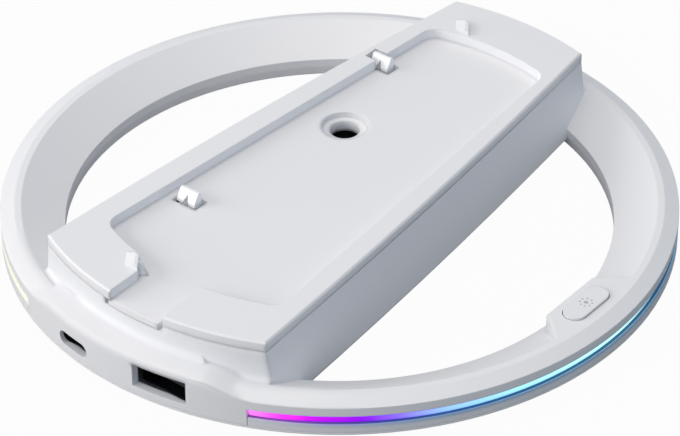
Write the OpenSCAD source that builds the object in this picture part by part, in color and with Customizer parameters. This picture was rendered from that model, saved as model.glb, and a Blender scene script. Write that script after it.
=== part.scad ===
// Vertical stand for a games console: a round foot with a dock bar across it,
// a lit edge, a charging inlet, a USB outlet and a light button.
// Origin: centre of the ring on the table, +Z up, ports at -Y, light button at +X.

/* [Ring] */
// Outer diameter of the ring
ring_d = 160; // [150:1:172]
// Width of the ring from its edge to the windows
ring_w = 15.1; // [14.2:0.1:16.5]
// Height where the outer wall ends and the bevel starts
edge_h = 9.15; // [8.9:0.05:9.6]
// Height of the crest
crest_h = 10.5; // [10.2:0.1:11.2]
// Width of the outer bevel
bevel_w = 3.4; // [3:0.1:3.8]
// Width of the flat crest
crest_w = 1.6; // [1:0.1:2]
// Height of the inner lip where the cone ends
lip_h = 4.8; // [4.4:0.1:5.2]
// Wall of the housing
wall = 2; // [1.7:0.1:2.3]

/* [Bar] */
// Height of the dock plate's rim above the table
bar_h = 20.7; // [19:0.1:23]
// Gap from the end of the bar to the edge of the ring
end_gap = 6.7; // [6.2:0.1:7.6]
// Width of the bar at its front corners
near_w = 64.4; // [60:0.2:70]
// Width of the bar at its rear corners
far_w = 38.6; // [36:0.2:42]
// How far the sides bow out
side_bow = 1.3; // [0.8:0.1:1.8]
// Outward slope of the sides, per millimetre of height
side_slope = 0.15; // [0.08:0.01:0.2]
// Radius of the sweep from the end walls into the ring
sweep_r = 1.2; // [1:0.1:1.5]

/* [Dock plate] */
// Thickness of the plate's rim
plate_t = 2.7; // [2.3:0.1:3.2]
// Thickness of the tray's floor
floor_t = 1.5; // [1.2:0.1:1.8]
// Rim between the ends of the plate and the tray
end_rim = 13.8; // [12:0.1:15]
// Width of the tray near the front
tray_near_w = 51.4; // [48:0.2:53]
// Width of the tray near the rear
tray_far_w = 34.6; // [32:0.2:36]
// Corner radius of the tray
tray_corner = 4; // [3:0.5:6]
// Sideways shift of the tray
tray_x = 0.7; // [0:0.1:1]
// Width of the channel that opens the tray to the front
channel_w = 15.4; // [12:0.2:18]
// Chamfer along the top edge
edge_c = 0.4; // [0.2:0.1:0.6]
// Height of the two locating tabs above the rim
tab_h = 1.1; // [0.6:0.1:1.6]
// Length of a locating tab across the bar
tab_l = 3.9; // [3.4:0.1:4.4]
// Length of a locating tab along the bar
tab_w = 3.9; // [3.4:0.1:4.4]

/* [Screw hole for the console] */
// Sideways place of the hole
bore_x = -9; // [-11:0.5:-6]
// Place of the hole along the bar
bore_y = 13.25; // [8:0.25:18]
// Diameter of the through hole
bore_d = 7.3; // [6.6:0.1:8]
// Diameter of the shallow recess on top
spot_d = 11.1; // [9:0.1:12]
// Depth of the shallow recess on top
spot_h = 1.2; // [0.8:0.1:1.4]
// Diameter of the recess for the screw's head, from below
head_d = 13; // [11:0.1:14]
// Depth of the recess for the screw's head
head_h = 14; // [12:0.5:14.5]

/* [Snap hooks] */
// Width of a hook
hook_w = 5.3; // [4:0.1:6]
// Thickness of a hook at its foot
hook_t = 2.4; // [2:0.1:2.8]
// Height of the hooks above the tray's floor
hook_h = 3; // [2:0.1:4]
// Width of the window round a hook
hook_win_w = 7.1; // [7:0.1:8.4]
// Length of the window round a hook
hook_win_l = 4.2; // [3.9:0.1:5]
// Sideways place of the hooks
hook_x = -17.9; // [-18.4:0.1:-17]
// Front hook's place along the bar
hook_near_y = -33.1; // [-36:0.1:-30]
// Rear hook's place along the bar
hook_far_y = 39; // [36:0.1:42]

/* [Light strip] */
// Underside of the slot in the outer wall
slot_z = 4.6; // [4.2:0.1:5]
// Height of the slot
slot_h = 2.3; // [2:0.1:2.5]
// Half of the angle that the port panel takes up
panel_a = 24; // [22:0.5:27]
// Recess of the diffuser behind the wall's face
slot_depth = 0.9; // [0.6:0.1:1.2]
// Number of light-emitting diodes
led_n = 24; // [12:1:30]

/* [Light button] */
// Width of the button
btn_w = 5.5; // [5:0.1:5.8]
// Length of the button
btn_l = 13.9; // [12:0.1:15]
// Distance of the button's middle from the edge of the ring
btn_edge = 8.8; // [8.6:0.05:9]
// Height of the button above the crest
btn_rise = 0.5; // [0.5:0.05:0.8]
// Travel of the button
btn_travel = 0.4; // [0.2:0.05:0.45]
// Distance of the pod's inner face from the edge of the ring
pod_edge = 13.3; // [13.1:0.05:13.5]
// Length of the pod's inner face
pod_l = 17.8; // [17.6:0.1:20]
// Length of the pod at the crest
pod_l2 = 34; // [30:1:40]

/* [Ports] */
// Sideways place of the charging inlet
usbc_x = -13.6; // [-15:0.1:-12.5]
// Width of the charging inlet's opening
usbc_w = 9.5; // [9.3:0.1:10]
// Height of the charging inlet's opening
usbc_h = 3.7; // [3.6:0.05:3.9]
// Sideways place of the outlet
usba_x = 12; // [11.5:0.1:13]
// Width of the outlet's opening
usba_w = 13.8; // [13.5:0.1:14.2]
// Height of the outlet's opening
usba_h = 6.1; // [6:0.05:6.3]
// Height of the raised panel over the ports
hump_h = 12.2; // [12.05:0.05:12.6]

/* [Base] */
// Gap between the bottom cover and the table
foot_gap = 0.45; // [0.3:0.05:0.6]
// Height of the joint between cover and housing
split_h = 2.4; // [2.2:0.1:2.6]
// Height of the sharp lower edge of the outer wall
skirt_h = 1.8; // [1.5:0.1:1.9]
// Width of the chamfer under the outer wall
skirt_c = 2.6; // [2.4:0.1:3.5]
// Diameter of the rubber feet
foot_d = 9; // [7:0.5:10]
// Number of rubber feet
foot_n = 6; // [4:1:8]

/* [Clearances] */
// Gap between parts that slide
slide_gap = 0.2; // [0.15:0.01:0.25]
// Gap between parts that are fixed
fit = 0.15; // [0.1:0.01:0.2]
// Gap between curved faces that lie against each other
curve_gap = 0.3; // [0.2:0.05:0.35]

/* [Hidden] */
$fa = 1;
$fs = 0.4;
eps = 0.01;
ring_r = ring_d / 2;
win_r = ring_r - ring_w;
crest_out = ring_r - bevel_w;
btn_x = ring_r - btn_edge;
pod_x = ring_r - pod_edge;
crest_in = crest_out - crest_w;
cone_m = (crest_h - lip_h) / (crest_in - win_r);
bevel_m = (crest_h - edge_h) / bevel_w;
end_r = ring_r - end_gap;
plate_z = bar_h - plate_t;
pan_z = plate_z - floor_t;
pan_rim = 0.9;

// The sides of the bar are arcs through its front and rear corners.
near_y = -sqrt(end_r * end_r - near_w * near_w / 4);
far_y = sqrt(end_r * end_r - far_w * far_w / 4);
side_a = atan((near_w - far_w) / 2 / (far_y - near_y));
chord = norm([(near_w - far_w) / 2, far_y - near_y]);
side_r = chord * chord / 8 / side_bow + side_bow / 2;
side_cx = (near_w + far_w) / 4 - (side_r - side_bow) * cos(side_a);
side_cy = (near_y + far_y) / 2 - (side_r - side_bow) * sin(side_a);
side_fn = 1440;
function flare(z) = (plate_z - z) * side_slope;

// Inner surface of the housing
in_r = ring_r - wall;
win_in = win_r + wall;
roof_h = crest_h - wall;
lip_in = lip_h + wall * cone_m - wall * sqrt(1 + cone_m * cone_m);
edge_in = edge_h + wall * bevel_m - wall * sqrt(1 + bevel_m * bevel_m);
cone_top_in = win_in + (roof_h - lip_in) / cone_m;
bevel_top_in = in_r - (roof_h - edge_in) / bevel_m;
function roof_at(r) = lip_in + (r - win_in) * cone_m;

// Tray outline
tray_r = end_r - end_rim;
tray_y0 = -sqrt(tray_r * tray_r - tray_near_w * tray_near_w / 4);
tray_y1 = sqrt(tray_r * tray_r - tray_far_w * tray_far_w / 4);
tray_a = atan((tray_near_w - tray_far_w) / 2 / (tray_y1 - tray_y0));
tray_c = tray_near_w / 2 * cos(tray_a) + tray_y0 * sin(tray_a);
tray_n = [cos(tray_a), sin(tray_a)];
tray_t = [-sin(tray_a), cos(tray_a)];

// Locating tabs: their right front corners, and the lean of their right faces
tab_x = tray_x - channel_w / 2;
tab_lean = 36;
tab_rise = tab_l * cos(tab_lean);
tab_places = [-tray_r - 4, tray_r + 0.2];

// Raised port panel
hump_edge = hump_h - 0.35;
hump_x0 = 19 * panel_a / 24;
hump_x1 = ring_r * sin(panel_a) + 2;
hump_dz = hump_h - edge_h;
hump_r = (pow(hump_x1 - hump_x0, 2) + hump_dz * hump_dz) / 4 / hump_dz;
hump_sweep = sweep_r + 0.4;
// Height where the sweep at the plain ring runs out into the cone
sweep_foot = min(crest_h, crest_h - cone_m * (crest_in - end_r - sweep_r)) - 0.05;
bay_h = hump_edge - 1.5;

// Light strip
slot_top = slot_z + slot_h;
strip_from = panel_a - 90;
strip_a = 360 - 2 * panel_a;
diff_r = ring_r - slot_depth;
diff_in = in_r - curve_gap - 1.4;
led_l = 5;
led_t = 1;
flex_out = diff_in - curve_gap - led_t;
flex_t = 0.2;
rib_out = flex_out - flex_t - 0.05;
rib_t = 1.2;

// Boards
board_z = split_h + 0.8;
board_t = 1.2;
board_top = board_z + board_t;
board_edge = 6.6;
board_y0 = -ring_r + board_edge;
board_l = 21;
pin_d = 1.4;
btn_hole = [btn_w + 2 * slide_gap, btn_l + 2 * slide_gap];
btn_skirt = 0.9;
btn_flange = 1;
roof_pod = crest_h - wall + 0.2;
btn_low = roof_pod - btn_flange - 0.1;
btn_bay = [btn_w + 0.8, btn_l + 2 * btn_skirt + 2 * slide_gap + 0.6];
sw_board_t = 1;
sw_h = 2;
sw_w = 5.2;
sw_top = board_z + sw_board_t + sw_h;
// The switch's pin stands just further above its body than the button travels
pin_rise = btn_travel + 0.1;
pin_in = 1;
sw_pin_d = 2.6;
socket = [3.2, 4.4, 3.2];
socket_y = [board_y0 + 8.4, board_y0 + 13.2];
wire_d = 1;
wire_gap = 0.15;
wire_z = board_top + 1.4;

// Ports
usbc_shell = [8.94, 3.26, 7.3];
usba_shell = [13.1, 5.7, 14];
usbc_z = board_top + usbc_shell[1] / 2;
usba_z = board_top + usba_shell[1] / 2;
shell_t = 0.3;
port_y = -ring_r + 3;
board_w = 2 * (usba_x + usba_shell[0] / 2 + socket[0] + 0.25);
chip = [5, 5, 1];
coil = [6, 5.5, 2.8];
can_d = 3.5;
can_h = 5;

// Screws
boss_r = 2.6;
boss_ring = win_r + 7;
boss_hole = 3.8;
boss_angles = [18, 50, 130, 180, 232, 308];
post_r = 3.2;
post_places = [[22, -46], [-22, -46], [13, 50], [-13, 50]];
screw_d = 2;
screw_gap = 0.15;
screw_head_d = 3.8;
screw_head_h = 1.2;
screw_sink = foot_gap + screw_head_h;
post_screw_l = 9;
board_hole_in = 2.5;
board_screws_at = [[board_w / 2 - board_hole_in, board_y0 + board_l - board_hole_in],
                   [board_hole_in - board_w / 2, board_y0 + board_l - board_hole_in],
                   [0, board_y0 + 7.9]];
board_screw_l = board_t + 1.6;
foot_in = 7.6;
foot_ring = ring_r - foot_in;
foot_sink = 0.6;

// A slice of the bar between two heights. side and end are its growth at each height.
module bar_slice(z0, z1, side, end) {
    intersection() {
        translate([0, 0, z0])
            cylinder(h = z1 - z0, r1 = end_r + end[0], r2 = end_r + end[1]);
        side_cone(z0, z1, side);
        mirror([1, 0, 0])
            side_cone(z0, z1, side);
    }
}

// The right side of the bar is the skin of a very wide cone.
module side_cone(z0, z1, side) {
    translate([side_cx, side_cy, z0])
        cylinder(h = z1 - z0, r1 = side_r + side[0], r2 = side_r + side[1], $fn = side_fn);
}

// Tray outline, grown by g: two arcs, two straight sides and four round corners
module tray_plan(g = 0) {
    r = tray_r + g;
    c = tray_c + g;
    q = tray_corner + g;
    translate([tray_x, 0]) {
        difference() {
            intersection() {
                circle(r = r);
                polygon([for (p = [[1, -1], [1, 1], [-1, 1], [-1, -1]])
                    [p[0] * (c - p[1] * r * tray_n[1]) / tray_n[0], p[1] * r]]);
            }
            for (m = [-1, 1], s = [-1, 1])
                tray_corner_cut(r, c, q, m, s);
        }
        for (m = [-1, 1], s = [-1, 1])
            translate(tray_corner_at(r, c, q, m, s))
                circle(r = q + eps);
    }
}

// Centre of a corner's arc. m is -1 for the left side, s is -1 for the front.
function tray_corner_at(r, c, q, m, s) =
    flip(m, (c - q) * tray_n + s * sqrt(pow(r - q, 2) - pow(c - q, 2)) * tray_t);

function flip(m, p) = [m * p[0], p[1]];

module tray_corner_cut(r, c, q, m, s) {
    k = tray_corner_at(r, c, q, m, s);
    n = flip(m, tray_n);
    u = k / norm(k);
    polygon([k, k + q * n, k + 2 * q * (n + u), k + q * u]);
}

module obround(size, h) {
    long = max(size[0], size[1]) - min(size[0], size[1]);
    turned = size[1] > size[0] ? 90 : 0;
    rotate([0, 0, turned]) {
        translate([-long / 2, -min(size[0], size[1]) / 2, 0])
            cube([long, min(size[0], size[1]), h]);
        for (s = [-1, 1])
            translate([s * long / 2, 0, 0])
                cylinder(h = h, d = min(size[0], size[1]));
    }
}

// A flat-ended opening through the front wall, drawn in X and Z and run along Y
module front_slot(x, z, size, from, depth) {
    translate([x, from, z])
        rotate([-90, 0, 0])
            obround(size, depth);
}

// Profile of an end wall with the sweep at its foot, for a revolve
module end_profile(foot_z, r) {
    translate([0, split_h])
        square([end_r, plate_z - split_h]);
    difference() {
        translate([end_r - eps, split_h])
            square([r + eps, foot_z + r - split_h]);
        translate([end_r + r, foot_z + r])
            circle(r = r);
    }
}

// The line of the port panel's shoulder, from its flat top down to the plain wall
module hump_half() {
    xm = (hump_x0 + hump_x1) / 2;
    zm = (hump_h + edge_h) / 2;
    square([hump_x0 + eps, hump_h]);
    intersection() {
        translate([hump_x0, hump_h - hump_r])
            circle(r = hump_r);
        translate([hump_x0, 0])
            square([xm - hump_x0 + eps, hump_h]);
    }
    difference() {
        translate([xm, 0])
            square([hump_x1 - xm, zm]);
        translate([hump_x1, edge_h + hump_r])
            circle(r = hump_r);
    }
}

module front_prism() {
    rotate([90, 0, 0])
        linear_extrude(height = ring_r + 5) {
            children();
            mirror([1, 0])
                children();
        }
}

module ring_section() {
    polygon([[win_r, split_h], [win_r, lip_h], [crest_in, crest_h], [crest_out, crest_h],
             [ring_r, edge_h], [ring_r, split_h]]);
}

module ring_hollow() {
    polygon([[win_in, split_h - 1], [win_in, lip_in], [cone_top_in, roof_h],
             [bevel_top_in, roof_h], [in_r, edge_in], [in_r, split_h - 1]]);
}

module pod_plan(g = 0) {
    polygon([[pod_x + g, -pod_l / 2 + g], [pod_x + g, pod_l / 2 - g],
             [crest_in + 0.8, pod_l2 / 2 - g], [crest_in + 0.8, -pod_l2 / 2 + g]]);
}

module strip_sweep(trim = 0) {
    rotate([0, 0, strip_from + trim])
        rotate_extrude(angle = strip_a - 2 * trim)
            children();
}

module housing_outside() {
    rotate_extrude()
        ring_section();
    intersection() {
        rotate_extrude()
            end_profile(sweep_foot, sweep_r);
        side_cone(split_h, plate_z, [flare(split_h), 0]);
        mirror([1, 0, 0])
            side_cone(split_h, plate_z, [flare(split_h), 0]);
    }
    intersection() {
        rotate_extrude()
            polygon([[end_r - 1, split_h], [ring_r, split_h], [ring_r, hump_edge],
                     [end_r + sweep_r, hump_h], [end_r - 1, hump_h]]);
        front_prism()
            hump_half();
    }
    intersection() {
        rotate_extrude()
            intersection() {
                end_profile(hump_h - 0.05, hump_sweep);
                translate([end_r - 1, 0])
                    square([wall + 10, bar_h]);
            }
        front_prism()
            polygon([[0, 0], [0, plate_z - eps], [hump_x0 - 5, plate_z - eps],
                     [hump_x0 + 0.5, hump_h - 0.1], [hump_x0 + 0.5, 0]]);
    }
    intersection() {
        translate([0, 0, split_h])
            linear_extrude(height = crest_h - split_h)
                pod_plan();
        cylinder(h = bar_h, r = crest_out - crest_w / 2);
    }
}

module housing_inside() {
    rotate_extrude()
        ring_hollow();
    intersection() {
        translate([0, 0, split_h - 1])
            cylinder(h = bar_h, r = end_r - wall);
        side_cone(split_h - 1, bar_h, [flare(split_h) - wall, flare(bar_h) - wall]);
        mirror([1, 0, 0])
            side_cone(split_h - 1, bar_h, [flare(split_h) - wall, flare(bar_h) - wall]);
    }
    intersection() {
        translate([0, 0, split_h - 1])
            cylinder(h = bay_h - split_h + 1, r = in_r);
        translate([-hump_x0 - 2, -ring_r, split_h - 1])
            cube([2 * hump_x0 + 4, 25, bay_h]);
    }
    translate([btn_x - btn_bay[0] / 2, -btn_bay[1] / 2, split_h - 1])
        cube([btn_bay[0], btn_bay[1], roof_pod - split_h + 1]);
}

module upper_housing() {
    color([0.87, 0.88, 0.9]) {
        difference() {
            housing_outside();
            housing_inside();
            strip_sweep()
                translate([in_r - eps, split_h - 1])
                    square([wall + 1, slot_top - split_h + 1]);
            front_slot(usbc_x, usbc_z, [usbc_w, usbc_h], -ring_r - 1, 6);
            translate([usba_x - usba_w / 2, -ring_r - 1, usba_z - usba_h / 2])
                cube([usba_w, 6, usba_h]);
            translate([btn_x, 0, split_h])
                obround(btn_hole, crest_h);
            tongue_notch();
        }
        housing_bosses();
        light_rib();
    }
}

// Notch in the front wall for the tongue of the dock plate
module tongue_notch() {
    translate([tray_x - channel_w / 2 - 1.6, -ring_r, pan_z])
        cube([channel_w + 1.6, ring_r - end_r + wall + 1, bar_h]);
}

module housing_bosses() {
    for (a = boss_angles)
        rotate([0, 0, a])
            translate([boss_ring, 0, split_h])
                difference() {
                    cylinder(h = roof_at(boss_ring) - split_h + 0.6, r = boss_r);
                    translate([0, 0, -eps])
                        cylinder(h = boss_hole, d = screw_d + 2 * screw_gap);
                }
}

// The rib behind the light strip, which hangs from the roof of the ring
module light_rib() {
    difference() {
        strip_sweep(4)
            translate([rib_out - rib_t, split_h + 0.4])
                square([rib_t, roof_at(rib_out - rib_t) - split_h]);
        translate([btn_x - btn_bay[0] / 2, -btn_bay[1] / 2, 0])
            cube([btn_bay[0] + 2, btn_bay[1], bar_h]);
        bar_slice(0, bar_h, [flare(0) - wall, flare(bar_h) - wall], [20, 20]);
    }
}

module cover_outside() {
    rotate_extrude()
        polygon([[win_r + 0.2, foot_gap], [win_r, split_h], [ring_r - 0.2, split_h],
                 [ring_r, split_h - 0.2], [ring_r, skirt_h], [ring_r - skirt_c, foot_gap]]);
    bar_slice(foot_gap, split_h, [flare(split_h) - 1.3, flare(split_h)],
              [-skirt_c, -skirt_c]);
    strip_sweep(0.1)
        translate([in_r, split_h - eps])
            square([wall, slot_z - split_h]);
}

module bottom_cover() {
    color([0.85, 0.86, 0.88]) {
        difference() {
            union() {
                cover_outside();
                board_posts();
            }
            for (p = board_screws_at)
                translate([p[0], p[1], board_top - board_screw_l - 0.2])
                    cylinder(h = board_screw_l, d = screw_d + 2 * screw_gap);
            for (i = [0 : foot_n - 1])
                foot_place(i)
                    translate([0, 0, -eps])
                        cylinder(h = foot_gap + foot_sink + eps, d = foot_d + 2 * fit);
            for (a = boss_angles)
                rotate([0, 0, a])
                    translate([boss_ring, 0, 0])
                        screw_recess();
            for (p = post_places)
                translate(p)
                    screw_recess();
            translate([bore_x, bore_y, -eps])
                cylinder(h = split_h + 1, d = head_d);
        }
    }
}

module screw_recess() {
    translate([0, 0, -eps])
        cylinder(h = screw_sink + eps, d = screw_head_d + 2 * screw_gap);
    cylinder(h = split_h + 1, d = screw_d + 2 * screw_gap);
}

module foot_place(i) {
    rotate([0, 0, (i + 0.5) * 360 / foot_n])
        translate([foot_ring, 0, 0])
            children();
}

module board_posts() {
    for (p = board_screws_at)
        translate([p[0], p[1], split_h - eps])
            cylinder(h = board_z - split_h + eps, d = 5);
    for (s = [-1, 1])
        translate([btn_x, s * (btn_l / 2 - 0.6), split_h - eps]) {
            cylinder(h = board_z - split_h + eps, d = 3.4);
            cylinder(h = board_z + sw_board_t - split_h + 0.6, d = pin_d - 2 * fit);
        }
}

module dock_plate() {
    color([0.87, 0.88, 0.89]) {
        difference() {
            union() {
                bar_slice(plate_z, plate_z + 0.2, [-0.25, -0.25], [-0.25, -0.25]);
                bar_slice(plate_z + 0.2, bar_h - edge_c, [0, 0], [0, 0]);
                bar_slice(bar_h - edge_c, bar_h, [0, -edge_c], [0, -edge_c]);
                locating_tabs();
            }
            translate([0, 0, plate_z - 1])
                linear_extrude(height = bar_h)
                    tray_plan();
            translate([tray_x - channel_w / 2, -ring_r, plate_z - 1])
                cube([channel_w, ring_r - tray_r + 6, bar_h]);
            translate([0, 0, plate_z - 1])
                linear_extrude(height = plate_t + 0.6)
                    tab_corner();
            hook_windows();
        }
        difference() {
            union() {
                tray_pan();
                front_fin();
            }
            hook_windows();
            translate([bore_x, bore_y, 0]) {
                cylinder(h = bar_h, d = bore_d);
                translate([0, 0, plate_z - spot_h])
                    cylinder(h = bar_h, d = spot_d);
                translate([0, 0, -eps])
                    cylinder(h = head_h + eps, d = head_d);
            }
            for (p = post_places)
                translate([p[0], p[1], 0])
                    cylinder(h = post_screw_l, d = screw_d + 2 * screw_gap);
        }
    }
}

// The tray's floor, its tongue, the four posts and the sleeve round the console's screw
module tray_pan() {
    translate([0, 0, pan_z])
        linear_extrude(height = floor_t) {
            tray_plan(pan_rim);
            translate([tab_x - tab_w, tab_places[0] - 1])
                square([2 * tab_w, tab_w + 1.5]);
            intersection() {
                translate([tray_x - channel_w / 2 - 1, -end_r])
                    square([channel_w + 2, end_rim]);
                circle(r = end_r - wall - fit);
            }
            intersection() {
                translate([tray_x - channel_w / 2 - 0.4, -end_r])
                    square([channel_w - 0.8, end_rim]);
                circle(r = end_r);
            }
        }
    for (p = post_places)
        translate([p[0], p[1], split_h])
            cylinder(h = pan_z - split_h + eps, r = post_r);
    translate([bore_x, bore_y, split_h])
        cylinder(h = pan_z - split_h + eps, d = head_d + 4);
}

module hook_windows() {
    for (y = [hook_near_y, hook_far_y])
        translate([hook_x - hook_win_w / 2, y - hook_win_l / 2, pan_z - 1])
            cube([hook_win_w, hook_win_l, bar_h]);
}

// Each tab is a wedge that rises to the right, up to a face that leans away from the front.
module locating_tabs() {
    for (y = tab_places)
        intersection() {
            translate([tab_x, y, bar_h - 0.4])
                rotate([0, 0, tab_lean])
                    translate([0, 2 * tab_w, 0])
                        rotate([90, 0, 0])
                            linear_extrude(height = 3 * tab_w)
                                polygon([[0, 0], [0, 0.4 + tab_h], [-0.9, 0.4 + tab_h],
                                         [-tab_rise, 0.4], [-tab_rise, 0]]);
            translate([tab_x - 4 * tab_l, y, 0])
                cube([5 * tab_l, tab_w, 2 * bar_h]);
        }
}

// The corner between the channel and the tray, cut off along the front tab's leaning face
module tab_corner() {
    polygon([[tab_x, tab_places[0]], [tab_x + tab_l, tab_places[0]],
             [tab_x + tab_l, tab_places[0] + 1.5 * tab_w],
             [tab_x - 1.5 * tab_w * tan(tab_lean), tab_places[0] + 1.5 * tab_w]]);
}

// The front tab goes on down its leaning face as a fin to the tray's floor.
module front_fin() {
    translate([tab_x, tab_places[0], plate_z - 0.1])
        rotate([0, 0, tab_lean])
            translate([-0.4, 2.7, 0])
                rotate([90, 0, 0])
                    linear_extrude(height = 0.9)
                        polygon([[0, 0], [2.7, 0], [0.8, plate_t + tab_h - 0.1],
                                 [0, plate_t + tab_h - 0.1]]);
}

// A forked hook with a ramp towards the front, on a foot that screws under the tray
module snap_hook(y) {
    foot_h = 2;
    top = plate_z + hook_h;
    color([0.93, 0.94, 0.95])
        translate([hook_x, y, 0]) {
            difference() {
                translate([-hook_w / 2, 0, 0])
                    rotate([90, 0, 90])
                        linear_extrude(height = hook_w)
                            polygon([[hook_t / 2, pan_z - foot_h], [hook_t / 2, top - 0.4],
                                     [hook_t / 2 - 0.4, top], [0.1, top],
                                     [-hook_t / 2 - 0.2, plate_z + 0.6],
                                     [-hook_t / 2 - 0.2, plate_z - 0.2],
                                     [-hook_t / 2 + 0.5, plate_z - 0.6],
                                     [-hook_t / 2 + 0.5, pan_z - foot_h]]);
                translate([0, hook_t, 0])
                    rotate([90, 0, 0])
                        linear_extrude(height = 2 * hook_t)
                            polygon([[-0.9, pan_z], [0.9, pan_z], [0.9, plate_z],
                                     [0, top - 1], [-0.9, plate_z]]);
            }
            difference() {
                translate([-hook_w / 2 - 0.2, -5, pan_z - foot_h])
                    cube([hook_w + 0.4, 10, foot_h]);
                for (s = [-1, 1])
                    translate([0, s * 3.7, pan_z - foot_h - 1])
                        cylinder(h = foot_h + 2, d = screw_d + 2 * screw_gap);
            }
        }
}

module snap_hook_front() {
    snap_hook(hook_near_y);
}

module snap_hook_rear() {
    snap_hook(hook_far_y);
}

module hook_screws() {
    color("silver")
        for (y = [hook_near_y, hook_far_y], s = [-1, 1])
            translate([hook_x, y + s * 3.7, pan_z - 2 - screw_head_h]) {
                cylinder(h = screw_head_h, d = screw_head_d);
                cylinder(h = screw_head_h + 2, d = screw_d);
            }
}

module light_diffuser() {
    color([0.95, 0.97, 1])
        strip_sweep(0.2)
            polygon([[diff_in, split_h], [in_r - curve_gap, split_h],
                     [in_r - curve_gap, slot_z + fit], [diff_r, slot_z + fit],
                     [diff_r, slot_top - fit], [in_r - curve_gap, slot_top - fit],
                     [in_r - curve_gap, edge_in - 0.2], [diff_in, edge_in - 0.2]]);
}

module led_strip() {
    color([0.9, 0.9, 0.88])
        strip_sweep(2)
            translate([flex_out - flex_t, board_z])
                square([flex_t, 4]);
}

module led_chips() {
    color([1, 0.98, 0.85])
        for (i = [0 : led_n - 1])
            rotate([0, 0, strip_from + 4 + i * (strip_a - 8) / (led_n - 1)])
                translate([flex_out, -led_l / 2, board_z + 0.4])
                    cube([led_t, led_l, 3.2]);
}

module light_button() {
    color([0.87, 0.88, 0.9]) {
        translate([btn_x, 0, btn_low])
            obround([btn_w, btn_l], crest_h + btn_rise - btn_low);
        translate([btn_x, 0, btn_low])
            obround([btn_w, btn_l + 2 * btn_skirt], btn_flange);
        translate([btn_x, 0, sw_top + pin_rise])
            cylinder(h = btn_low - sw_top - pin_rise + eps, d = 3.6);
    }
}

module switch_plunger() {
    color([0.15, 0.15, 0.16])
        translate([btn_x, 0, sw_top - pin_in])
            cylinder(h = pin_in + pin_rise, d = sw_pin_d);
}

module tact_switch() {
    color([0.2, 0.2, 0.21])
        difference() {
            translate([btn_x - sw_w / 2, -sw_w / 2, sw_top - sw_h])
                cube([sw_w, sw_w, sw_h]);
            translate([btn_x, 0, sw_top - pin_in - btn_travel - slide_gap])
                cylinder(h = 3, d = sw_pin_d + 2 * slide_gap);
        }
}

module button_board() {
    color([0.1, 0.35, 0.2])
        difference() {
            translate([btn_x - btn_w / 2, -btn_l / 2 - 1.4, board_z])
                cube([btn_w, btn_l + 2.8, sw_board_t]);
            for (s = [-1, 1])
                translate([btn_x, s * (btn_l / 2 - 0.6), board_z - 1])
                    cylinder(h = 3, d = pin_d);
        }
}

module main_board() {
    color([0.1, 0.35, 0.2])
        difference() {
            translate([-board_w / 2, board_y0, board_z])
                cube([board_w, board_l, board_t]);
            for (p = board_screws_at)
                translate([p[0], p[1], board_z - 1])
                    cylinder(h = 4, d = screw_d + 2 * screw_gap);
        }
}

module usb_c_shell() {
    color("silver")
        difference() {
            front_slot(usbc_x, usbc_z, [usbc_shell[0], usbc_shell[1]], port_y, usbc_shell[2]);
            front_slot(usbc_x, usbc_z, [usbc_shell[0] - 2 * shell_t, usbc_shell[1] - 2 * shell_t],
                       port_y - 1, usbc_shell[2] + 1 - shell_t);
        }
}

module usb_c_tongue() {
    color([0.12, 0.12, 0.13]) {
        translate([usbc_x - 3.35, port_y + 1.2, usbc_z - 0.35])
            cube([6.7, usbc_shell[2] - 1.2 - shell_t, 0.7]);
        front_slot(usbc_x, usbc_z, [usbc_shell[0] - 2 * shell_t - 0.1, usbc_shell[1] - 2 * shell_t - 0.1],
                   port_y + usbc_shell[2] - shell_t - 1.4, 1.4);
    }
}

module usb_a_shell() {
    color("silver")
        translate([usba_x - usba_shell[0] / 2, port_y, board_top])
            difference() {
                cube([usba_shell[0], usba_shell[2], usba_shell[1]]);
                translate([shell_t, -1, shell_t])
                    cube([usba_shell[0] - 2 * shell_t, usba_shell[2] + 1 - shell_t,
                          usba_shell[1] - 2 * shell_t]);
            }
}

module usb_a_insulator() {
    back_l = 4;
    color([0.08, 0.08, 0.09])
        translate([usba_x, port_y, board_top]) {
            translate([-5.6, 0.9, usba_shell[1] - shell_t - 2.5])
                cube([11.2, usba_shell[2] - 0.9 - shell_t, 1.8]);
            translate([-usba_shell[0] / 2 + shell_t + 0.05, usba_shell[2] - shell_t - back_l, shell_t])
                cube([usba_shell[0] - 2 * shell_t - 0.1, back_l, usba_shell[1] - 2 * shell_t - 0.05]);
        }
}

module usb_a_contacts() {
    color("gold")
        translate([usba_x, port_y, board_top + usba_shell[1] - shell_t - 2.5])
            for (x = [-3.5, -1, 1, 3.5])
                translate([x - 0.5, 1.4, -0.25])
                    cube([1, usba_shell[2] - 6, 0.25]);
}

module controller_chip() {
    color([0.13, 0.13, 0.14])
        translate([-chip[0] - 0.5, board_y0 + 10.9, board_top])
            cube(chip);
}

module power_parts() {
    color([0.3, 0.3, 0.32])
        translate([-14, board_y0 + 14, board_top])
            cube(coil);
    color([0.75, 0.75, 0.77])
        for (x = [-3, 1.5])
            translate([x, board_y0 + 2, board_top])
                cylinder(h = can_h, d = can_d);
}

module wire_sockets() {
    color([0.93, 0.92, 0.86])
        for (y = socket_y)
            translate([board_w / 2 - socket[0], y - socket[1] / 2, board_top])
                cube(socket);
}

// Straight stretches of a wire between the given points, a hair apart at the bends
module wire(points) {
    for (i = [0 : len(points) - 2]) {
        v = points[i + 1] - points[i];
        translate(points[i])
            rotate([0, acos(v[2] / norm(v)), atan2(v[1], v[0])])
                translate([0, 0, wire_gap])
                    cylinder(h = norm(v) - 2 * wire_gap, d = wire_d);
    }
}

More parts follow.
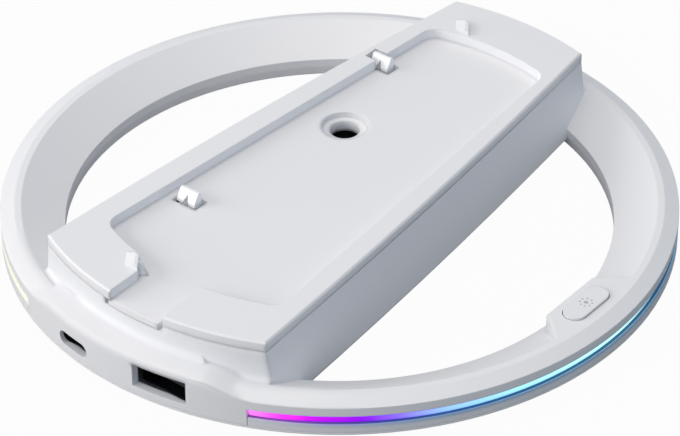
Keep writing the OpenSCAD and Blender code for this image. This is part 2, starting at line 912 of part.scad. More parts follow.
// Wires from the main board to the start of the light strip
module led_wires() {
    end_a = strip_from + 3;
    end_r = flex_out - flex_t - wire_d / 2 - 0.1;
    color([0.7, 0.1, 0.1])
        wire([[board_w / 2, socket_y[0], wire_z], [board_w / 2 + 4, socket_y[0], wire_z],
              [end_r * cos(end_a), end_r * sin(end_a), wire_z - 1]]);
}

// Wires from the main board to the button's board, along the inside of the ring
module button_wires() {
    wire_r = win_in + 1.6;
    low_z = split_h + 0.7;
    from_a = -63;
    to_a = -10;
    bend_a = 0.4;
    color([0.15, 0.15, 0.15]) {
        wire([[board_w / 2, socket_y[1], wire_z],
              [wire_r * cos(from_a), wire_r * sin(from_a), low_z]]);
        rotate([0, 0, from_a + bend_a])
            rotate_extrude(angle = to_a - from_a - 2 * bend_a)
                translate([wire_r, low_z])
                    circle(d = wire_d);
        wire([[wire_r * cos(to_a), wire_r * sin(to_a), low_z],
              [btn_x - 1.2, -btn_l / 2 - 1.4 - wire_d / 2, low_z + 0.3]]);
    }
}

module cover_screws() {
    color("silver")
        for (a = boss_angles)
            rotate([0, 0, a])
                translate([boss_ring, 0, screw_sink - screw_head_h])
                    round_screw(split_h + boss_hole - screw_sink - 0.3);
}

module plate_screws() {
    color("silver")
        for (p = post_places)
            translate([p[0], p[1], screw_sink - screw_head_h])
                round_screw(post_screw_l - screw_sink - 0.5);
}

module round_screw(l) {
    cylinder(h = screw_head_h, d = screw_head_d);
    cylinder(h = screw_head_h + l, d = screw_d);
}

module board_screws() {
    color("silver")
        for (p = board_screws_at)
            translate([p[0], p[1], board_top])
                mirror([0, 0, 1])
                    translate([0, 0, -screw_head_h])
                        round_screw(board_screw_l);
}

module rubber_feet() {
    color([0.1, 0.1, 0.1])
        for (i = [0 : foot_n - 1])
            foot_place(i)
                cylinder(h = foot_gap + foot_sink, d = foot_d);
}

upper_housing();
bottom_cover();
dock_plate();
snap_hook_front();
snap_hook_rear();
hook_screws();
light_diffuser();
led_strip();
led_chips();
light_button();
switch_plunger();
tact_switch();
button_board();
main_board();
usb_c_shell();
usb_c_tongue();
usb_a_shell();
usb_a_insulator();
usb_a_contacts();
controller_chip();
power_parts();
wire_sockets();
led_wires();
button_wires();
cover_screws();
plate_screws();
board_screws();
rubber_feet();
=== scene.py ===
# %% [markdown]
# Console vertical stand: a lesson in finishing a CAD model
#
# The CAD frame brings a round foot with a dock bar, its ports, hooks, screws and boards, all at their
# real size in metres. This notebook gives every piece its finish, rounds the edges of the moulded
# shells in their shading, lights the band round the edge, clears one corner of the dock plate, and
# sets up the floor, the lamps and the camera.

# %% Load the frame
import math
import bpy
from mathutils import Matrix, Vector


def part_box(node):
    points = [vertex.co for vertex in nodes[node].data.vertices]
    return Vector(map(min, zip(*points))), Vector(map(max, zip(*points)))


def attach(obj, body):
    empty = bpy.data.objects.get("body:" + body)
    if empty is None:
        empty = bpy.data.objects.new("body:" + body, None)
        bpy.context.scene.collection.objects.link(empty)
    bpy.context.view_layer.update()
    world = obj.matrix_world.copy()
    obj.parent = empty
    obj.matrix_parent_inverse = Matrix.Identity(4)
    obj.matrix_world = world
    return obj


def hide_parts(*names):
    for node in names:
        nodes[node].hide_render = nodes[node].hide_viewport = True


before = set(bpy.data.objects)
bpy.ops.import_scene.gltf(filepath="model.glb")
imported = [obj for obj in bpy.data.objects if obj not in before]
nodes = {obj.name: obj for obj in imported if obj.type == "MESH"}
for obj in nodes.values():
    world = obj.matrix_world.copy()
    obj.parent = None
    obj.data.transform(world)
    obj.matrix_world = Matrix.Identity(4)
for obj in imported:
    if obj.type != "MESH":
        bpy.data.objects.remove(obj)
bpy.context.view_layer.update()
MM = 0.001

# %% [markdown]
# Measures that the finish needs
#
# The stand's middle is at the origin, so every ring-shaped pattern is centred there already. Most of
# the sizes below come from the frame's own boxes, so that they follow the CAD model if it changes.
# The rim of the dock plate ends below the two locating tabs, whose height is repeated from the CAD.

# %% Read the measures from the frame
TAB_HEIGHT = 1.1 * MM
ring_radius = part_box("upper_housing")[1].x
rim_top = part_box("dock_plate")[1].z - TAB_HEIGHT
button_low, button_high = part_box("light_button")
button_centre = (button_low + button_high) / 2
band_low, band_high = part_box("light_diffuser")
print("ring radius", round(ring_radius / MM, 2), "mm")
print("button at", [round(v / MM, 2) for v in button_centre])

# %% [markdown]
# Small helpers
#
# Every edit starts from a clean selection, because the frame leaves all its nodes selected. A
# material is a node tree: `new_material` starts one and hands back its shader, so that each finish
# below only adds what makes it different. A pattern is a sum worked out for each point of the
# surface, from its place on the object, so a few helpers make the usual steps of such a sum.


# %% Helpers for selecting and for node trees
def pick(piece):
    bpy.ops.object.select_all(action="DESELECT")
    piece.select_set(True)
    bpy.context.view_layer.objects.active = piece


def add_node(tree, kind, **settings):
    node = tree.nodes.new(kind)
    for name, value in settings.items():
        setattr(node, name, value)
    return node


def maths(tree, operation, first, second=None, clamp=False):
    node = add_node(tree, "ShaderNodeMath", operation=operation, use_clamp=clamp)
    for socket, value in zip(node.inputs, (first, second)):
        if value is None:
            continue
        if isinstance(value, (int, float)):
            socket.default_value = value
        else:
            tree.links.new(value, socket)
    return node.outputs[0]


def ramped(tree, value, low_high, out_low_high):
    node = add_node(tree, "ShaderNodeMapRange", interpolation_type="SMOOTHSTEP")
    tree.links.new(value, node.inputs["Value"])
    node.inputs["From Min"].default_value, node.inputs["From Max"].default_value = low_high
    node.inputs["To Min"].default_value, node.inputs["To Max"].default_value = out_low_high
    return node.outputs["Result"]


def times(tree, *factors):
    product = factors[0]
    for factor in factors[1:]:
        product = maths(tree, "MULTIPLY", product, factor)
    return product


def length_of(tree, one, other):
    return maths(tree, "SQRT", maths(tree, "ADD", times(tree, one, one), times(tree, other, other)))


def place_on_object(tree, origin=(0, 0, 0)):
    place = add_node(tree, "ShaderNodeTexCoord")
    centred = add_node(tree, "ShaderNodeMapping")
    centred.inputs["Location"].default_value = [-value for value in origin]
    split = add_node(tree, "ShaderNodeSeparateXYZ")
    tree.links.new(place.outputs["Object"], centred.inputs["Vector"])
    tree.links.new(centred.outputs["Vector"], split.inputs[0])
    return [split.outputs[axis] for axis in "XYZ"]


def parts_of(tree):
    return {node.type: node for node in tree.nodes}


def new_material(name, colour, roughness, metallic=0.0):
    material = bpy.data.materials.new(name)
    material.use_nodes = True
    tree = material.node_tree
    shader = parts_of(tree)["BSDF_PRINCIPLED"]
    shader.inputs["Base Color"].default_value = (*colour, 1)
    shader.inputs["Roughness"].default_value = roughness
    shader.inputs["Metallic"].default_value = metallic
    return material, tree, shader


print("helpers ready")

# %% [markdown]
# The grain of moulded plastic
#
# A steel mould is spark-eroded or blasted, and leaves a very fine, even grain on the plastic. One
# group makes it for every shell: two sizes of noise give the height for a bump and a slight change in
# roughness, and a slow third noise changes the tone a little, as real mouldings have it.


# %% Node group: moulded grain
COARSE_SCALE, SLOW_SCALE = 0.31, 35
FINE_SHARE, COARSE_SHARE, ROUGHNESS_SWING = 0.6, 0.4, 0.12


def build_grain_group():
    group = bpy.data.node_groups.new("moulded grain", "ShaderNodeTree")
    face = group.interface
    for way, names in (("INPUT", ("Colour", "Grain size", "Roughness", "Tone")),
                       ("OUTPUT", ("Colour", "Roughness", "Height"))):
        for name in names:
            kind = "NodeSocketColor" if name == "Colour" else "NodeSocketFloat"
            face.new_socket(name=name, in_out=way, socket_type=kind)
    inside = add_node(group, "NodeGroupInput")
    outside = add_node(group, "NodeGroupOutput")
    place = add_node(group, "ShaderNodeTexCoord")
    links = group.links

    scale = maths(group, "DIVIDE", 1.0, inside.outputs["Grain size"])
    fine = add_node(group, "ShaderNodeTexNoise")
    fine.inputs["Detail"].default_value = 2
    coarse = add_node(group, "ShaderNodeTexNoise")
    coarse.inputs["Detail"].default_value = 1
    slow = add_node(group, "ShaderNodeTexNoise")
    slow.inputs["Scale"].default_value = SLOW_SCALE
    for noise in (fine, coarse, slow):
        links.new(place.outputs["Object"], noise.inputs["Vector"])
    links.new(scale, fine.inputs["Scale"])
    links.new(times(group, scale, COARSE_SCALE), coarse.inputs["Scale"])

    height = maths(group, "ADD", times(group, fine.outputs["Fac"], FINE_SHARE),
                   times(group, coarse.outputs["Fac"], COARSE_SHARE))
    links.new(height, outside.inputs["Height"])
    swing = times(group, maths(group, "SUBTRACT", coarse.outputs["Fac"], 0.5), ROUGHNESS_SWING)
    links.new(maths(group, "ADD", inside.outputs["Roughness"], swing), outside.inputs["Roughness"])
    drift = maths(group, "SUBTRACT", slow.outputs["Fac"], 0.5)
    lift = maths(group, "ADD", 1.0, times(group, drift, inside.outputs["Tone"]))
    tint = add_node(group, "ShaderNodeVectorMath", operation="SCALE")
    links.new(inside.outputs["Colour"], tint.inputs[0])
    links.new(lift, tint.inputs["Scale"])
    links.new(tint.outputs[0], outside.inputs["Colour"])
    return group


grain_group = build_grain_group()
print("group:", grain_group.name, "with", len(grain_group.nodes), "nodes")

# %% [markdown]
# Plastic finishes
#
# A moulded plastic is the grain group in front of the shader. The bump is only about a hundredth of a
# millimetre high. The Bevel node bends the normals within a small radius of each edge, so the edges
# catch the light as a moulded part's do, and the CAD mesh stays as it is. The shells are a cool
# white, and the hooks are smoother because they slide.


# %% Build the plastics
EDGE_MM = 0.3


def moulded(name, colour, roughness, grain=0.35, height=0.012, tone=0.03, edge=EDGE_MM):
    material, tree, shader = new_material(name, colour, roughness)
    group = add_node(tree, "ShaderNodeGroup")
    group.node_tree = grain_group
    group.inputs["Colour"].default_value = (*colour, 1)
    group.inputs["Grain size"].default_value = grain * MM
    group.inputs["Roughness"].default_value = roughness
    group.inputs["Tone"].default_value = tone
    bump = add_node(tree, "ShaderNodeBump")
    bump.inputs["Distance"].default_value = height * MM
    bump.inputs["Strength"].default_value = 1.0
    soft = add_node(tree, "ShaderNodeBevel", samples=8)
    soft.inputs["Radius"].default_value = edge * MM
    tree.links.new(soft.outputs["Normal"], bump.inputs["Normal"])
    tree.links.new(group.outputs["Height"], bump.inputs["Height"])
    tree.links.new(bump.outputs["Normal"], shader.inputs["Normal"])
    tree.links.new(group.outputs["Colour"], shader.inputs["Base Color"])
    tree.links.new(group.outputs["Roughness"], shader.inputs["Roughness"])
    return material


SHELL_WHITE = (0.80, 0.81, 0.84)
hook_white = moulded("hook white", (0.92, 0.93, 0.95), 0.35, grain=0.2, height=0.006, edge=0.15)
black_plastic = moulded("black plastic", (0.012, 0.012, 0.014), 0.4, grain=0.15)
grey_plastic = moulded("grey plastic", (0.16, 0.16, 0.17), 0.45, grain=0.15)
cream_plastic = moulded("cream plastic", (0.72, 0.69, 0.56), 0.4, grain=0.15)
foot_rubber = moulded("foot rubber", (0.02, 0.02, 0.021), 0.75, grain=0.4, height=0.03)
print("plastics:", hook_white.name, grey_plastic.name, foot_rubber.name)

# %% [markdown]
# The upper housing's white
#
# The real housing runs softly from the port panel and from the button pod into the ring. The CAD model
# has facets there. A Bevel node takes its radius from a socket, so the radius can grow where the
# shoulder of the port panel and the near end of the pod are, and stay small on every other edge. The
# spans below say where each of the two begins and ends.


# %% Build the housing's finish
SHOULDER_ALONG, SHOULDER_HEIGHT = (-62 * MM, -57 * MM), (8.8 * MM, 10.0 * MM)
POD_START, POD_END = (8 * MM, 9.5 * MM), (17 * MM, 20 * MM)
POD_NEAR_SIDE = (button_centre.y - 5 * MM, button_centre.y)
INSIDE_RIM = (ring_radius - 7 * MM, ring_radius - 5 * MM)
SHOULDER_RADIUS, POD_RADIUS = 2.2 * MM, 1.3 * MM


def build_housing_material():
    material = moulded("housing white", SHELL_WHITE, 0.5)
    tree = material.node_tree
    bevel = parts_of(tree)["BEVEL"]
    bevel.samples = 16
    across, along, height = place_on_object(tree)
    shoulder = times(tree, ramped(tree, along, SHOULDER_ALONG, (SHOULDER_RADIUS, 0.0)),
                     ramped(tree, height, SHOULDER_HEIGHT, (0.0, 1.0)))
    from_button = length_of(tree, maths(tree, "SUBTRACT", across, button_centre.x),
                            maths(tree, "SUBTRACT", along, button_centre.y))
    reach = length_of(tree, across, along)
    pod_end = times(tree, ramped(tree, from_button, POD_START, (0.0, 1.0)),
                    ramped(tree, from_button, POD_END, (POD_RADIUS, 0.0)),
                    ramped(tree, along, POD_NEAR_SIDE, (1.0, 0.0)),
                    ramped(tree, reach, INSIDE_RIM, (1.0, 0.0)))
    soft = maths(tree, "ADD", maths(tree, "ADD", shoulder, pod_end), EDGE_MM * MM)
    tree.links.new(soft, bevel.inputs["Radius"])
    return material


housing_white = build_housing_material()
print("housing:", housing_white.name)

# %% [markdown]
# The dock plate's white
#
# The foot of the tray's walls is softly rounded, and the rim's edge is crisp, so here the radius of the
# Bevel node changes with height. The screw hole leads down into the hollow bar, which lies in deep
# shade, so the wall of the well is painted nearly black below the plate: this is painted shade, not the
# plastic's colour. The well's place and size are repeated from the CAD.


# %% Build the plate's finish
WELL_CENTRE = (-9.0 * MM, 13.25 * MM)
WELL_RADIUS = 6.6 * MM
WELL_TOP = 14.2 * MM
TRAY_FILLET = 1.7 * MM
FILLET_FADE = (rim_top - 0.9 * MM, rim_top - 0.4 * MM)


def tinted(tree, plain, tint, mask):
    mix = add_node(tree, "ShaderNodeMix", data_type="RGBA", blend_type="MULTIPLY")
    tree.links.new(mask, mix.inputs["Factor"])
    tree.links.new(plain, mix.inputs["A"])
    mix.inputs["B"].default_value = (*tint, 1)
    return mix.outputs["Result"]


def build_plate_material():
    material = moulded("plate white", SHELL_WHITE, 0.5)
    tree = material.node_tree
    used = parts_of(tree)
    across, along, height = place_on_object(tree)
    fillet = ramped(tree, height, FILLET_FADE, (TRAY_FILLET, EDGE_MM * MM))
    tree.links.new(fillet, used["BEVEL"].inputs["Radius"])
    from_well = length_of(tree, maths(tree, "SUBTRACT", across, WELL_CENTRE[0]),
                          maths(tree, "SUBTRACT", along, WELL_CENTRE[1]))
    # painted shade: the well's wall below the plate is darkened nearly black, where the hole lies in
    # shade
    painted_well_shade = times(tree, maths(tree, "LESS_THAN", from_well, WELL_RADIUS),
                 ramped(tree, height, (WELL_TOP - EDGE_MM * MM, WELL_TOP), (1.0, 0.0)))
    colour = tinted(tree, used["GROUP"].outputs["Colour"], (0.03, 0.03, 0.035), painted_well_shade)
    tree.links.new(colour, used["BSDF_PRINCIPLED"].inputs["Base Color"])
    return material


plate_white = build_plate_material()
print("plate rim at", round(rim_top / MM, 2), "mm")

# %% [markdown]
# The bottom cover's white
#
# The cover's outer wall ends in a ledge under the lit band. The ledge shows as a dark line, violet near
# the ports and blue by the button, and the edge below it has a trace of the band's blue. All of this is
# painted light: the dark line is painted shade in the groove under the band, tinted with painted glow
# from the band, and the pale blue on the edge is painted glow. Masks on the distance from the middle
# and on the height find the ledge and the edge, and three tints colour them. They stay on the button's
# half of the wall and off the port panel, which ends 23.5 degrees from the middle of the ports, where
# the cosine is 0.917.


# %% Build the cover's finish
# heights and reach of the painted shade on the ledge and the painted glow on the edge
LEDGE = 4.5 * MM
LIT_EDGE = (3.3 * MM, 4.6 * MM)
WALL_INSIDE = ring_radius - 1.2 * MM
LEDGE_REACH = (ring_radius - 0.35 * MM, ring_radius - 0.2 * MM)
VIOLET_TO_BLUE = (20 * MM, 75 * MM)
PORT_PANEL_COSINE = 0.917


def build_cover_material():
    material = moulded("cover white", (0.78, 0.79, 0.82), 0.55)
    tree = material.node_tree
    used = parts_of(tree)
    across, along, height = place_on_object(tree)
    reach = length_of(tree, across, along)
    to_ports = maths(tree, "DIVIDE", times(tree, along, -1.0), reach)
    wall = times(tree, maths(tree, "GREATER_THAN", reach, WALL_INSIDE),
                 maths(tree, "LESS_THAN", to_ports, PORT_PANEL_COSINE))
    blue_side = ramped(tree, across, VIOLET_TO_BLUE, (0.0, 1.0))
    # painted glow: a trace of the band's blue on the cover's edge below the ledge
    edge = times(tree, ramped(tree, height, LIT_EDGE, (0.0, 1.0)), wall, blue_side)
    # painted shade and glow: the ledge under the band is darkened and tinted violet and blue
    ledge_shade_glow = times(tree, maths(tree, "GREATER_THAN", height, LEDGE),
                  ramped(tree, reach, LEDGE_REACH, (1.0, 0.0)), wall,
                  maths(tree, "GREATER_THAN", across, 0.0))
    violet_shade_glow = maths(tree, "SUBTRACT", ledge_shade_glow, blue_side, clamp=True)
    # the three tints: painted glow on the edge, then painted shade with violet and with blue glow on
    # the ledge
    colour = tinted(tree, used["GROUP"].outputs["Colour"], (0.45, 0.66, 0.9), edge)
    colour = tinted(tree, colour, (0.20, 0.12, 0.36), violet_shade_glow)
    colour = tinted(tree, colour, (0.08, 0.24, 0.34), times(tree, ledge_shade_glow, blue_side))
    tree.links.new(colour, used["BSDF_PRINCIPLED"].inputs["Base Color"])
    return material


cover_white = build_cover_material()
print("cover:", cover_white.name)

# %% [markdown]
# The lit band
#
# Behind the slot lies a milky diffuser with coloured lights behind it. Seen from outside, the colour
# runs round the edge from pink by the ports through violet and blue to cyan by the button. The far
# side is hidden in the photograph. It gets green and yellow, because the bit at the left edge of the
# photograph is yellow-green.
# The angle round the middle picks the colour from a ramp, and the height in the slot makes the band
# brighter above and deeper in colour at its lower edge.


# %% Build the diffuser's glow
BRIGHT_FROM = 5.4 * MM
GLOW_STRENGTH = 0.95


def build_band_material():
    material, tree, shader = new_material("lit diffuser", (0.7, 0.75, 0.8), 0.35)
    across, along, height = place_on_object(tree)
    angle = maths(tree, "ARCTAN2", across, times(tree, along, -1.0))
    turn = maths(tree, "FRACT", maths(tree, "ADD", maths(tree, "DIVIDE", angle, 2 * math.pi), 1.0))
    ramp = add_node(tree, "ShaderNodeValToRGB")
    stops = [
        (24, (1.0, 0.22, 0.95)), (29, (0.92, 0.03, 0.95)), (34, (0.50, 0.0, 0.92)),
        (43, (0.22, 0.0, 0.86)), (48, (0.22, 0.12, 0.90)), (56, (0.28, 0.50, 0.98)),
        (66, (0.34, 0.72, 1.0)), (80, (0.48, 0.94, 1.0)), (94, (0.60, 1.0, 1.0)),
        (105, (0.34, 0.62, 0.74)), (150, (0.15, 0.90, 0.80)), (215, (0.15, 0.90, 0.35)),
        (285, (0.55, 0.90, 0.15)), (325, (0.86, 0.90, 0.45)), (336, (0.88, 0.88, 0.70)),
    ]
    while len(ramp.color_ramp.elements) < len(stops):
        ramp.color_ramp.elements.new(0.5)
    for element, (degrees, colour) in zip(ramp.color_ramp.elements, stops):
        element.position = degrees / 360
        element.color = (*colour, 1)
    tree.links.new(turn, ramp.inputs["Fac"])
    rise = ramped(tree, height, (LEDGE, BRIGHT_FROM), (0.5, 1.0))
    glow = add_node(tree, "ShaderNodeVectorMath", operation="SCALE")
    tree.links.new(ramp.outputs["Color"], glow.inputs[0])
    tree.links.new(rise, glow.inputs["Scale"])
    tree.links.new(glow.outputs[0], shader.inputs["Emission Color"])
    tree.links.new(ramp.outputs["Color"], shader.inputs["Base Color"])
    shader.inputs["Emission Strength"].default_value = GLOW_STRENGTH
    return material


lit_band = build_band_material()
print("band from", round(band_low.z / MM, 2), "to", round(band_high.z / MM, 2), "mm")

# %% [markdown]
# Metal, boards and wires
#
# The screws are plated steel with a fine brushing. The port shells have the same finish in a dark
# metal, painted dark to stand for the shade inside the openings: painted shade. The contacts are a pale
# plastic finish and no metal, so that they catch what light gets in. The circuit boards show copper
# tracks under green lacquer, and the edges of a cell pattern stand in for the tracks.


# %% Build the metals and the boards
BRUSH_SCALE, BRUSH_STRETCH, BRUSH_SWING = 9000, (1, 0.06, 1), 0.3
TRACK_SCALE, TRACK_WIDTH = 420, 0.09


def plated(name, colour, roughness):
    material, tree, shader = new_material(name, colour, roughness, metallic=1.0)
    place = add_node(tree, "ShaderNodeTexCoord")
    stretch = add_node(tree, "ShaderNodeMapping")
    stretch.inputs["Scale"].default_value = BRUSH_STRETCH
    brush = add_node(tree, "ShaderNodeTexNoise")
    brush.inputs["Scale"].default_value = BRUSH_SCALE
    tree.links.new(place.outputs["Object"], stretch.inputs["Vector"])
    tree.links.new(stretch.outputs["Vector"], brush.inputs["Vector"])
    swing = times(tree, maths(tree, "SUBTRACT", brush.outputs["Fac"], 0.5), BRUSH_SWING)
    tree.links.new(maths(tree, "ADD", swing, roughness), shader.inputs["Roughness"])
    return material


def lacquered_board(name, colour, track):
    material, tree, shader = new_material(name, colour, 0.3)
    place = add_node(tree, "ShaderNodeTexCoord")
    cells = add_node(tree, "ShaderNodeTexVoronoi", feature="DISTANCE_TO_EDGE")
    cells.inputs["Scale"].default_value = TRACK_SCALE
    tree.links.new(place.outputs["Object"], cells.inputs["Vector"])
    line = maths(tree, "LESS_THAN", cells.outputs["Distance"], TRACK_WIDTH)
    mix = add_node(tree, "ShaderNodeMix", data_type="RGBA")
    mix.inputs["A"].default_value = (*colour, 1)
    mix.inputs["B"].default_value = (*track, 1)
    tree.links.new(line, mix.inputs["Factor"])
    tree.links.new(mix.outputs["Result"], shader.inputs["Base Color"])
    return material


steel = plated("plated steel", (0.56, 0.56, 0.58), 0.3)
# painted shade: the port shells are dark metal because their inside lies in shade
port_shell_painted_dark = plated("port shell", (0.05, 0.055, 0.065), 0.4)
contact_metal = moulded("tinned contacts", (0.95, 0.95, 0.97), 0.3, grain=0.1, edge=0.05)
board_green = lacquered_board("board green", (0.01, 0.10, 0.045), (0.03, 0.20, 0.09))
flex_white = lacquered_board("flex white", (0.75, 0.75, 0.70), (0.62, 0.50, 0.30))
led_yellow = moulded("led resin", (0.85, 0.80, 0.45), 0.3, grain=0.1)
red_wire = moulded("red wire", (0.42, 0.015, 0.015), 0.4, grain=0.1)
black_wire = moulded("black wire", (0.012, 0.012, 0.012), 0.4, grain=0.1)
print("metals and boards ready")

# %% [markdown]
# The light mark on the button
#
# The button carries a plain brightness symbol: a dot with eight small dots round it, pressed a hair
# into the plastic. The pattern is worked out from the distance and the angle round the mark's middle,
# folded eight times, so one small dot makes all eight.


# %% Build the button's finish
DOT_MM, SMALL_DOT_MM, DOT_RING_MM, DOT_EDGE_MM = 0.52, 0.24, 1.45, 0.06
MARK_GREY, MARK_DIP = (0.46, 0.47, 0.50), 4.0
MARK_FROM = button_high.z - 0.1 * MM


def build_button_material():
    material = moulded("button white", SHELL_WHITE, 0.42, grain=0.25, height=0.008)
    tree = material.node_tree
    used = parts_of(tree)
    across, along, height = place_on_object(tree, (button_centre.x, button_centre.y, 0))
    reach = length_of(tree, across, along)
    eighth = math.pi / 4
    angle = maths(tree, "ARCTAN2", along, across)
    folded = maths(tree, "SUBTRACT", maths(tree, "FLOORED_MODULO", angle, eighth), eighth / 2)
    out = maths(tree, "SUBTRACT", times(tree, reach, maths(tree, "COSINE", folded)), DOT_RING_MM * MM)
    side = times(tree, reach, maths(tree, "SINE", folded))

    def disc(distance, radius):
        span = ((radius - DOT_EDGE_MM) * MM, (radius + DOT_EDGE_MM) * MM)
        return ramped(tree, distance, span, (1.0, 0.0))

    mark = maths(tree, "MAXIMUM", disc(reach, DOT_MM), disc(length_of(tree, out, side), SMALL_DOT_MM))
    mark = times(tree, mark, maths(tree, "GREATER_THAN", height, MARK_FROM))
    mix = add_node(tree, "ShaderNodeMix", data_type="RGBA")
    tree.links.new(mark, mix.inputs["Factor"])
    tree.links.new(used["GROUP"].outputs["Colour"], mix.inputs["A"])
    mix.inputs["B"].default_value = (*MARK_GREY, 1)
    tree.links.new(mix.outputs["Result"], used["BSDF_PRINCIPLED"].inputs["Base Color"])
    dip = maths(tree, "SUBTRACT", used["GROUP"].outputs["Height"], times(tree, mark, MARK_DIP))
    tree.links.new(dip, used["BUMP"].inputs["Height"])
    return material


button_white = build_button_material()
print("button mark at", [round(v / MM, 2) for v in button_centre[:2]])

# %% [markdown]
# Give every piece its finish
#
# The shape of these pieces is right as it comes from the CAD model, so the mesh stays untouched and
# only the material in each slot changes.


# %% Assign the finishes
finishes = {
    "upper_housing": housing_white, "dock_plate": plate_white,
    "bottom_cover": cover_white, "light_button": button_white,
    "snap_hook_front": hook_white, "snap_hook_rear": hook_white, "light_diffuser": lit_band,
    "hook_screws": steel, "cover_screws": steel, "plate_screws": steel, "board_screws": steel,
    "usb_c_shell": port_shell_painted_dark, "usb_a_shell": port_shell_painted_dark, "usb_a_contacts": contact_metal,
    "usb_c_tongue": black_plastic, "usb_a_insulator": black_plastic, "switch_plunger": black_plastic,
    "controller_chip": black_plastic, "tact_switch": grey_plastic, "power_parts": grey_plastic,
    "wire_sockets": cream_plastic, "main_board": board_green, "button_board": board_green,
    "led_strip": flex_white, "led_chips": led_yellow, "led_wires": red_wire,
    "button_wires": black_wire, "rubber_feet": foot_rubber,
}
for name, material in finishes.items():
    for slot in nodes[name].material_slots:
        slot.material = material
print("finishes on", len(finishes), "nodes; left over:", sorted(set(nodes) - set(finishes)))

# %% [markdown]
# Clear the corner by the front tab
#
# The corner between the channel and the tray is cut off along the tab's leaning face. In the CAD
# plate the cut stops 0.4 mm short of the rim's top and leaves a thin blade there. A merged copy of
# the plate loses it: three blocks, turned with the tab, are taken away over the open corner, two
# beside the fin that runs down from the tab and one past the fin's end. The blocks are only cutters,
# so plain cubes do. They are placed by the tab's foot and its lean, which are repeated from the CAD.
# The copy is shaded flat, because smooth shading left gradients on its large faces after the cuts.


# %% Cut the blade off a copy of the plate
TAB_CORNER = Vector((-7.0 * MM, -63.4 * MM, 0))
LEAN = math.radians(36)
BLADE_BOTTOM, BLOCK_HEIGHT = 20.29 * MM, 0.9 * MM
BLOCKS_MM = (((0.02, 8), (-3, 1.8)), ((0.02, 8), (2.7, 8)), ((0.97, 8), (1.79, 2.71)))


def corner_block(across, along):
    size = Vector(((across[1] - across[0]) * MM, (along[1] - along[0]) * MM, BLOCK_HEIGHT))
    middle = Vector((sum(across) / 2 * MM, sum(along) / 2 * MM, BLADE_BOTTOM + BLOCK_HEIGHT / 2))
    middle.rotate(Matrix.Rotation(LEAN, 3, "Z"))
    bpy.ops.object.select_all(action="DESELECT")
    bpy.ops.mesh.primitive_cube_add(size=1, location=TAB_CORNER + middle, rotation=(0, 0, LEAN))
    block = bpy.context.view_layer.objects.active
    block.scale = size
    bpy.ops.object.transform_apply(location=True, rotation=True, scale=True)
    return block


def clear_corner():
    pick(nodes["dock_plate"])
    bpy.ops.object.duplicate()
    plate = bpy.context.view_layer.objects.active
    plate.name = "plate_with_clear_corner"
    bpy.ops.mesh.customdata_custom_splitnormals_clear()
    bpy.ops.object.mode_set(mode="EDIT")
    bpy.ops.mesh.select_all(action="SELECT")
    bpy.ops.mesh.remove_doubles(threshold=0.0005 * MM)
    bpy.ops.object.mode_set(mode="OBJECT")
    for across, along in BLOCKS_MM:
        block = corner_block(across, along)
        pick(plate)
        cut = plate.modifiers.new("corner", "BOOLEAN")
        cut.operation, cut.solver, cut.object = "DIFFERENCE", "EXACT", block
        bpy.ops.object.modifier_apply(modifier=cut.name)
        pick(block)
        bpy.ops.object.delete()
    pick(plate)
    bpy.ops.object.shade_flat()
    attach(plate, "stand")
    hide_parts("dock_plate")
    return plate


plate = clear_corner()
print("plate:", len(plate.data.polygons), "faces, CAD node:", len(nodes["dock_plate"].data.polygons))

# %% [markdown]
# The floor
#
# The floor is a pale plane under the feet. Seen by the camera it is white, with a trace of the
# object's own shadow left in it, and to the object it is a grey that throws a little light up.


# %% Add the floor
FLOOR_GREY, FLOOR_WHITE, WHITE_SHARE = (0.2, 0.2, 0.208), 1.02, 0.95


def add_floor():
    bpy.ops.object.select_all(action="DESELECT")
    bpy.ops.mesh.primitive_plane_add(size=4.0, location=(0, 0, -0.02 * MM))
    floor = bpy.context.view_layer.objects.active
    floor.name = "floor"
    material, tree, shader = new_material("pale floor", FLOOR_GREY, 0.9)
    white = add_node(tree, "ShaderNodeEmission")
    white.inputs["Color"].default_value = (1, 1, 1, 1)
    white.inputs["Strength"].default_value = FLOOR_WHITE
    seen = add_node(tree, "ShaderNodeLightPath")
    mix = add_node(tree, "ShaderNodeMixShader")
    out = parts_of(tree)["OUTPUT_MATERIAL"]
    tree.links.new(times(tree, seen.outputs["Is Camera Ray"], WHITE_SHARE), mix.inputs["Fac"])
    tree.links.new(shader.outputs["BSDF"], mix.inputs[1])
    tree.links.new(white.outputs["Emission"], mix.inputs[2])
    tree.links.new(mix.outputs["Shader"], out.inputs["Surface"])
    floor.data.materials.append(material)
    return floor


floor = add_floor()
print("floor at", round(floor.location.z / MM, 3), "mm")

# %% [markdown]
# The light
#
# The shading in the photograph fits a broad soft light from the left, a large one from above and a
# weaker one from the front, and three area lamps give these. The sides that turn to the right get
# little of it, so the pale blue world leaves them in a cool half-shade. The camera sees the world as
# white.


# %% Place the lamps and the world
def area_lamp(name, place, size, power, colour):
    data = bpy.data.lights.new(name, "AREA")
    data.shape = "RECTANGLE"
    data.size, data.size_y = size
    data.energy = power
    data.color = colour
    lamp = bpy.data.objects.new(name, data)
    bpy.context.scene.collection.objects.link(lamp)
    lamp.location = place
    lamp.rotation_euler = (-Vector(place)).to_track_quat("-Z", "Y").to_euler()


area_lamp("top_panel", (-0.1, 0.1, 1.4), (1.6, 1.6), 9.2, (1.0, 0.83, 0.645))
area_lamp("left_panel", (-1.0, -0.9, 0.5), (1.0, 0.8), 11.1, (1.0, 0.946, 0.897))
area_lamp("front_panel", (0.1, -1.35, 0.45), (1.2, 0.8), 4.3, (1.0, 0.92, 0.81))

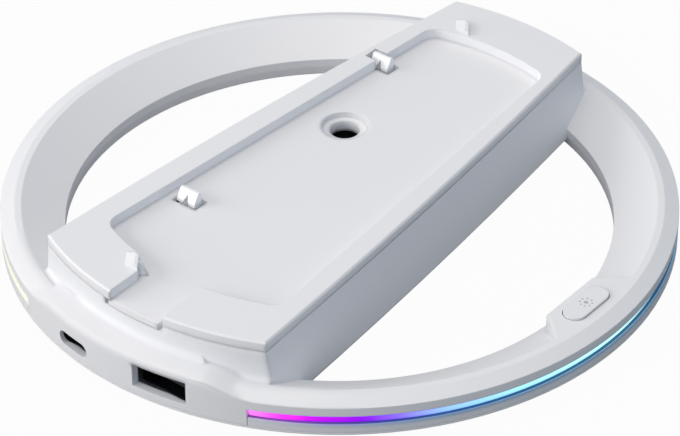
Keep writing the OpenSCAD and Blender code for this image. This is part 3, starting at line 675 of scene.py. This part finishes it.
world = bpy.data.worlds.new("studio")
bpy.context.scene.world = world
world.use_nodes = True
sky = world.node_tree
used = parts_of(sky)
dim = used["BACKGROUND"]
dim.inputs["Color"].default_value = (0.85, 1.0, 1.17, 1)
dim.inputs["Strength"].default_value = 0.445
bright = add_node(sky, "ShaderNodeBackground")
bright.inputs["Color"].default_value = (1, 1, 1, 1)
seen = add_node(sky, "ShaderNodeLightPath")
both = add_node(sky, "ShaderNodeMixShader")
sky.links.new(seen.outputs["Is Camera Ray"], both.inputs["Fac"])
sky.links.new(dim.outputs["Background"], both.inputs[1])
sky.links.new(bright.outputs["Background"], both.inputs[2])
sky.links.new(both.outputs["Shader"], used["OUTPUT_WORLD"].inputs["Surface"])
print("three lamps and a pale world")

# %% [markdown]
# The camera
#
# The picture was taken with a long lens from the front right, looking down at 36 degrees. The
# direction, the distance and the lens were solved from the two rims of the ring and the bar's edges,
# and three small shifts put the middle of the stand where the photograph has it.

# %% Aim the camera
PHOTO_WIDTH, SENSOR_WIDTH = 680, 36
turn, tilt, roll = math.radians(38.82), math.radians(35.982), math.radians(-0.242)
distance, lens_px = 812.5 * MM, 3420.12
SHIFT_RIGHT, SHIFT_UP, SHIFT_HEIGHT = 0.08 * MM, 0.46 * MM, 1.78 * MM
ahead = Vector((-math.sin(turn) * math.cos(tilt), math.cos(turn) * math.cos(tilt), -math.sin(tilt)))
right = Vector((math.cos(turn), math.sin(turn), 0))
up = right.cross(ahead)
rolled_right = math.cos(roll) * right + math.sin(roll) * up
rolled_up = math.cos(roll) * up - math.sin(roll) * right
eye = -distance * ahead + SHIFT_RIGHT * right + SHIFT_UP * up + Vector((0, 0, SHIFT_HEIGHT))
camera_data = bpy.data.cameras.new("camera")
camera_data.sensor_width = SENSOR_WIDTH
camera_data.lens = SENSOR_WIDTH * lens_px / PHOTO_WIDTH
camera_data.clip_end = 10
camera = bpy.data.objects.new("camera", camera_data)
bpy.context.scene.collection.objects.link(camera)
camera.matrix_world = Matrix((
    (rolled_right.x, rolled_up.x, -ahead.x, eye.x),
    (rolled_right.y, rolled_up.y, -ahead.y, eye.y),
    (rolled_right.z, rolled_up.z, -ahead.z, eye.z),
    (0, 0, 0, 1)))
bpy.context.scene.camera = camera
bpy.context.scene.view_settings.view_transform = "Standard"
print("lens", round(camera_data.lens, 1), "mm, eye at", [round(v, 3) for v in eye])
